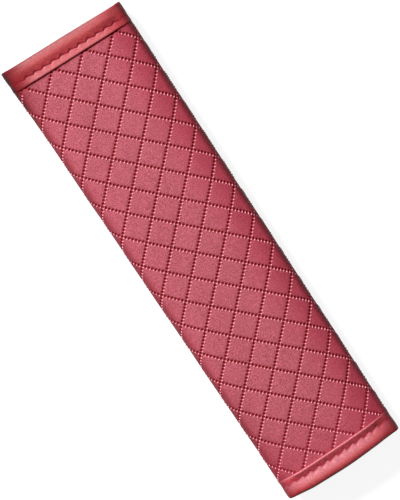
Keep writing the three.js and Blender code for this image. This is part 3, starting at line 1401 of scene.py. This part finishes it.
    def hem_runs(self) -> tuple[float, float]:
        """Where the hems lie.

        Returns:
            Where they start and end along the pad.
        """
        half = self.sleeve.length / 2
        low = self.bindings[End.UPPER].width + self.gap - half
        return low, half - self.bindings[End.LOWER].width - self.gap

    def put_at_end(self, end: End) -> Put:
        """How the strip of one end lies on the sheet.

        Args:
            end: the end.

        Returns:
            A function from the strip's own coordinates to x and s.
        """
        half = self.sleeve.length / 2

        def put(inward: Array, height: Array, run: Array) -> tuple[Array, Array]:
            """Places along and round the pad."""
            return end.value * (half - inward), run

        return put

    def put_at_flap(self, side: Side) -> Put:
        """How the hem of one flap lies on the sheet.

        Args:
            side: the flap's side.

        Returns:
            A function from the hem's own coordinates to x and s.
        """
        def put(inward: Array, height: Array, run: Array) -> tuple[Array, Array]:
            """Where points of the hem lie.

            Args:
                inward: their distance from the hem's fold.
                height: their height, which changes nothing here.
                run: their place along the hem.

            Returns:
                Their places along and round the pad.
            """
            sides = np.full(run.size, float(side.value))
            reach = self.sleeve.reach(run.ravel(), sides).reshape(run.shape)
            return run, side.value * (reach - inward)

        return put

    def end_binding(self, end: End) -> bpy.types.Object:
        """A leather strip folded over one end.

        Args:
            end: the end.

        Returns:
            The new object.
        """
        low, high = self.end_runs(end)
        runs = np.linspace(low, high, int((high - low) / 0.45))
        name = f"{end.name.lower()}_binding_leather"
        piece = FoldedStrip(name, self.bindings[end], runs, self.put_at_end(end)).build()
        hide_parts(f"{end.name.lower()}_end_binding")
        return piece

    def flap_hem(self, side: Side) -> bpy.types.Object:
        """A leather strip folded over the free edge of one flap.

        Args:
            side: the flap's side.

        Returns:
            The new object.
        """
        low, high = self.hem_runs()
        runs = np.linspace(low, high, int((high - low) / 0.7))
        name = f"{side.name.lower()}_hem_leather"
        piece = FoldedStrip(
            name, self.hem, runs, self.put_at_flap(side), spacing=0.4, calm_sides=0.0).build()
        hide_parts(f"{side.name.lower()}_flap_hem")
        return piece

    def strip_thread(
            self, name: str, strip: Strip, put: Put, span: tuple[float, float]) -> bpy.types.Object:
        """The stitches that hold a folded strip, on its shown face and inside.

        Args:
            name: the thread's name.
            strip: the strip's section.
            put: how it lies on the sheet.
            span: where the strip starts and ends.

        Returns:
            The new object.
        """
        count = np.arange(math.ceil(span[0] / strip.stitch) + 1, math.floor(span[1] / strip.stitch) - 1)
        places = {}
        faces = ((strip.roll - strip.seam_depth - 0.32, 1), (strip.bottom - 0.02, -1))
        for key, share, inward in (("start", 0.08, -0.3), ("stop", 0.92, 0.3), ("middle", 0.5, -0.3)):
            run = (count + share) * strip.stitch
            places[key] = put(np.full(len(run), strip.seam + inward), np.zeros(len(run)), run)
        starts, ends, ups = [], [], []
        for level, way in faces:
            starts.append(self.sleeve.place(*places["start"], level))
            ends.append(self.sleeve.place(*places["stop"], level))
            up = self.sleeve.place(*places["middle"], 1.0) - self.sleeve.place(*places["middle"], 0.0)
            ups.append(way * up)
        return thread_mesh(
            name, np.vstack(starts), np.vstack(ends), np.vstack(ups),
            0.22 * MM, 0.12 * MM, sides=8, rings=9)

    def tape_thread(self, name: str, node: str, way: int) -> bpy.types.Object:
        """Two rows of stitches along the edges of a closure strip, on its shown face.

        Args:
            name: the thread's name.
            node: the strip's node.
            way: 1 where the shown face looks up, -1 where it looks down.

        Returns:
            The new object.
        """
        low, high = (np.array(corner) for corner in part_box(node))
        inset = 1.3 * MM
        pitch = 3.0 * MM
        sunk = 0.04 * MM
        count = np.arange(int((high[0] - low[0] - 2 * inset) / pitch))
        level = (high[2] if way > 0 else low[2]) - way * sunk
        starts, ends = [], []
        for y in (low[1] + inset, high[1] - inset):
            for rows, share in ((starts, 0.1), (ends, 0.9)):
                x = low[0] + inset + (count + share) * pitch
                rows.append(np.stack([x, np.full(len(x), y), np.full(len(x), level)], axis=1))
        ups = np.tile((0.0, 0.0, float(way)), (2 * len(count), 1))
        return thread_mesh(name, np.vstack(starts), np.vstack(ends), ups, 0.14 * MM, 0.0)

    def quilting_thread(self) -> bpy.types.Object:
        """The stitches in the grooves of the quilting, beside the holes on their lit side; their pale
        thread is partly a painted highlight.

        Returns:
            The new object.
        """
        q = self.quilting
        starts, ends, ups = [], [], []
        low = self.bindings[End.UPPER].width + 1.2 - self.sleeve.length / 2
        high = self.sleeve.length / 2 - self.bindings[End.LOWER].width - 1.2
        left, right = (self.flap_reach(side, 0.0) - self.hem.width - 1 for side in Side)
        span = int(self.sleeve.length / q.diagonal) + 9
        counts = np.arange(-span * q.stitches, span * q.stitches)
        for family, (angle, aside) in enumerate(zip(q.stitch_angles, q.stitch_shifts)):
            turn = math.radians(angle)
            lean = q.half_stitch * math.cos(turn), q.half_stitch * math.sin(turn)
            used = counts[counts % q.stitches != 0] if family else counts
            for line in range(-span, span + 1):
                run, across = used / q.stitches, np.full(len(used), float(line))
                first, second = (run, across) if family else (across, run)
                x = q.crossing_x + (first + second) * q.diagonal / 2
                s = q.crossing_s + (first - second) * q.diagonal / 2
                keep = (x > low) & (x < high) & (s > -left) & (s < right)
                x, s = x[keep] + aside[0], s[keep] + aside[1]
                if not len(x):
                    continue
                starts.append(self.sleeve.place(x - lean[0], s - lean[1], q.stitch_level))
                ends.append(self.sleeve.place(x + lean[0], s + lean[1], q.stitch_level))
                ups.append(self.sleeve.place(x, s, 1.0) - self.sleeve.place(x, s, 0.0))
        return thread_mesh(
            "quilting_thread", np.vstack(starts), np.vstack(ends), np.vstack(ups),
            0.32 * MM, 0.1 * MM, sides=5, rings=4)

    def tape(self, name: str, node: str) -> bpy.types.Object:
        """One strip of the closure, with softly rounded edges.

        Args:
            name: the piece's name.
            node: the strip's node.

        Returns:
            The new object.
        """
        low, high = (np.array(corner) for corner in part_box(node))
        columns, rows = 30, 220
        angle = np.linspace(0, math.tau, columns, endpoint=False)
        middle = (low + high) / 2
        half = (high - low) / 2
        power = 0.16
        y = middle[1] + half[1] * np.sign(np.cos(angle)) * np.abs(np.cos(angle)) ** power
        z = middle[2] + half[2] * np.sign(np.sin(angle)) * np.abs(np.sin(angle)) ** power
        x = np.linspace(low[0], high[0], rows)
        points = np.stack([np.repeat(x, columns), np.tile(y, rows), np.tile(z, rows)], axis=1)
        piece = mesh_object(name, points, grid_faces(rows, columns, around=True), points)
        close_ends(piece)
        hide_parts(node)
        return piece


@dataclass(frozen=True)
class Studio:
    """The floor, the lamps and the camera."""

    focal_pixels: float = 3000.0
    frame_pixels: float = 500.0
    camera_place: tuple[float, float, float] = (-0.25411, -0.02858, 1.43003)
    camera_forward: tuple[float, float, float] = (0.1753, 0.0192, -0.9843)
    camera_up: tuple[float, float, float] = (-0.8195, 0.5570, -0.1350)
    floor_size: float = 6.0
    floor_drop: float = 0.2 * MM
    floor_glow: float = 0.88

    def camera(self) -> None:
        """Sets the camera where the photograph was taken from."""
        data = bpy.data.cameras.new("camera")
        data.sensor_width = 36.0
        data.lens = self.focal_pixels * data.sensor_width / self.frame_pixels
        data.clip_end = 20.0
        forward = Vector(self.camera_forward).normalized()
        right = forward.cross(Vector(self.camera_up)).normalized()
        up = right.cross(forward)
        turn = Matrix((right, up, -forward)).transposed().to_4x4()
        camera = bpy.data.objects.new("camera", data)
        camera.matrix_world = Matrix.Translation(self.camera_place) @ turn
        bpy.context.scene.collection.objects.link(camera)
        bpy.context.scene.camera = camera

    def lamp(self, name: str, place: tuple[float, float, float], size: float, power: float) -> None:
        """A square lamp that faces the pad.

        Args:
            name: the lamp's name.
            place: where it hangs, in metres.
            size: length of its side in metres.
            power: its power in watts.
        """
        data = bpy.data.lights.new(name, "AREA")
        data.size = size
        data.energy = power
        lamp = bpy.data.objects.new(name, data)
        lamp.location = place
        lamp.rotation_euler = (-Vector(place)).to_track_quat("-Z", "Y").to_euler()
        bpy.context.scene.collection.objects.link(lamp)

    def floor(self) -> None:
        """A pale floor, white to the camera outside the pad's shadow."""
        size = self.floor_size
        corners = ((-size, -size), (size, -size), (size, size), (-size, size))
        points = np.array([(*corner, -self.floor_drop) for corner in corners])
        piece = mesh_object("floor", points, np.array([[0, 1, 2, 3]]))
        recipe = Recipe("floor_paint")
        path = recipe.node("ShaderNodeLightPath", {}, {})
        seen = path.out("Is Camera Ray").math("MAXIMUM", path.out("Is Glossy Ray"))
        seen = seen.math("MAXIMUM", path.out("Is Transmission Ray"))
        colour = recipe.blend(seen, rgb(0.1, 0.1, 0.1), rgb(0.3, 0.3, 0.3))
        shader = recipe.node("ShaderNodeBsdfDiffuse", {}, {"Color": colour})
        glow = recipe.node("ShaderNodeEmission", {}, {"Strength": seen * self.floor_glow})
        both = recipe.node("ShaderNodeAddShader", {}, {0: shader.out(0), 1: glow.out(0)})
        recipe.node("ShaderNodeOutputMaterial", {}, {0: both.out(0)})
        piece.data.materials.append(recipe.material)
        piece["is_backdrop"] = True

    def world(self, strength: float) -> None:
        """Even light from all round.

        Args:
            strength: how bright it is, 1 for white.
        """
        world = bpy.data.worlds.new("studio_air")
        world.use_nodes = True
        background = world.node_tree.nodes["Background"]
        background.inputs["Color"].default_value = rgb(1, 1, 1)
        background.inputs["Strength"].default_value = strength
        bpy.context.scene.world = world

    def build(self) -> None:
        """Sets up the whole studio."""
        bpy.context.scene.view_settings.view_transform = "Standard"
        self.camera()
        self.lamp("window", (-3.7, -1.1, 2.93), size=1.02, power=402.0)
        self.lamp("fill", (-0.3, -0.2, 1.7), size=1.2, power=1.0)
        self.world(0.13)
        self.floor()


def settle(piece: bpy.types.Object, finish: bpy.types.Material) -> None:
    """Gives a piece its finish and tells the frame about it.

    Args:
        piece: the piece.
        finish: its material.
    """
    piece.data.materials.append(finish)
    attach(piece, "root")
    LOG.info("%s: %d faces", piece.name, len(piece.data.polygons))


def main() -> None:
    """Builds the pad and its studio."""
    logging.basicConfig(level=logging.INFO, format="%(message)s")
    solid_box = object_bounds()
    Studio().build()
    pad = Pad()
    # The second colour is darker, for the grain and for the painted shade.
    rose = LeatherFinish(
        "quilted_leather", rgb(0.57, 0.128, 0.167), rgb(0.13, 0.0, 0.0), 0.42, quilted=True).build()
    # Bands of painted light and shade across the end bindings: painted shade at the folds and edges,
    # painted highlight where the lamp's sheen falls.
    upper_light_and_shade = (
        (0.8, rgb(0.34, 0.076, 0.08)), (2.5, rgb(0.58, 0.126, 0.134)), (5.0, rgb(0.72, 0.095, 0.1)),
        (7.0, rgb(0.7, 0.066, 0.087)), (8.3, rgb(0.52, 0.077, 0.1)), (10.2, rgb(0.46, 0.075, 0.083)),
        (11.2, rgb(0.33, 0.02, 0.03)))
    lower_light_and_shade = (
        (0.1, rgb(0.06, 0.003, 0.006)), (0.7, rgb(0.16, 0.01, 0.017)), (1.4, rgb(0.4, 0.035, 0.045)),
        (2.5, rgb(0.53, 0.075, 0.082)), (4.5, rgb(0.56, 0.13, 0.15)), (6.6, rgb(0.64, 0.19, 0.235)),
        (7.7, rgb(0.6, 0.06, 0.09)), (9.0, rgb(0.78, 0.08, 0.105)), (9.9, rgb(0.78, 0.21, 0.24)))
    # Every red strip gets painted shade towards its long edges; dim adds painted shade on the upper
    # binding's left side and corner.
    reds = {
        name: LeatherFinish(
            f"{name}_leather", rgb(0.56, 0.07, 0.078), rgb(0.14, 0.003, 0.008), 0.4,
            crease_depth=0.3 * MM, grain_depth=0.08 * MM, speckle=0.9, coat=0.7, coat_roughness=0.55,
            seam=strip.seam, light_and_shade_bands=light_and_shade_bands, flank_shade=rgb(0.36, 0.035, 0.045), dim=dim).build()
        for name, strip, light_and_shade_bands, dim in (
            ("upper_binding", pad.bindings[End.UPPER], upper_light_and_shade, 1.4),
            ("lower_binding", pad.bindings[End.LOWER], lower_light_and_shade, 0.0),
            ("hem", pad.hem, (), 0.0))
    }
    # The quilting thread is paler than the leather, partly as a painted highlight on the lit side of the
    # holes, and has painted shade towards the right long edge.
    thread = ClothFinish(
        "thread", rgb(0.82, 0.29, 0.35), 0.4, 0.5, shaded=rgb(0.3, 0.03, 0.05)).build()
    dark_thread = ClothFinish("binding_thread", rgb(0.5, 0.06, 0.08), 0.4, 0.6).build()
    mesh_cloth = ClothFinish("lining_cloth", rgb(0.012, 0.012, 0.014), 1.6).build()
    foam = ClothFinish("foam_cells", rgb(0.6, 0.56, 0.48), 1.1).build()
    hooks = ClothFinish("hook_field", rgb(0.012, 0.012, 0.013), 1.1, 0.5, 0.3 * MM, 0.4 * MM).build()
    loops = ClothFinish("loop_pile", rgb(0.016, 0.016, 0.018), 0.5, 0.95, 0.7 * MM, 0.5 * MM).build()
    black_thread = ClothFinish("black_thread", rgb(0.02, 0.02, 0.021), 0.4, 0.6).build()
    settle(pad.cover(), rose)
    settle(pad.foam(), foam)
    settle(pad.lining(), mesh_cloth)
    for end in End:
        settle(pad.end_binding(end), reds[f"{end.name.lower()}_binding"])
        name = f"{end.name.lower()}_binding_thread"
        row = pad.strip_thread(name, pad.bindings[end], pad.put_at_end(end), pad.end_runs(end))
        settle(row, dark_thread)
    for side in Side:
        settle(pad.flap_hem(side), reds["hem"])
        name = f"{side.name.lower()}_hem_thread"
        row = pad.strip_thread(name, pad.hem, pad.put_at_flap(side), pad.hem_runs())
        settle(row, dark_thread)
    settle(pad.quilting_thread(), thread)
    for kind, finish, way in (("hook", hooks, 1), ("loop", loops, -1)):
        settle(pad.tape(f"{kind}_tape", f"{kind}_strip"), finish)
        row = pad.tape_thread(f"{kind}_tape_thread", f"{kind}_strip", way)
        settle(row, black_thread)
    boxes = {"solid": solid_box, "visual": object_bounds()}
    {name: [list(corner) for corner in box] for name, box in boxes.items()}


if __name__ == "__main__":
    main()
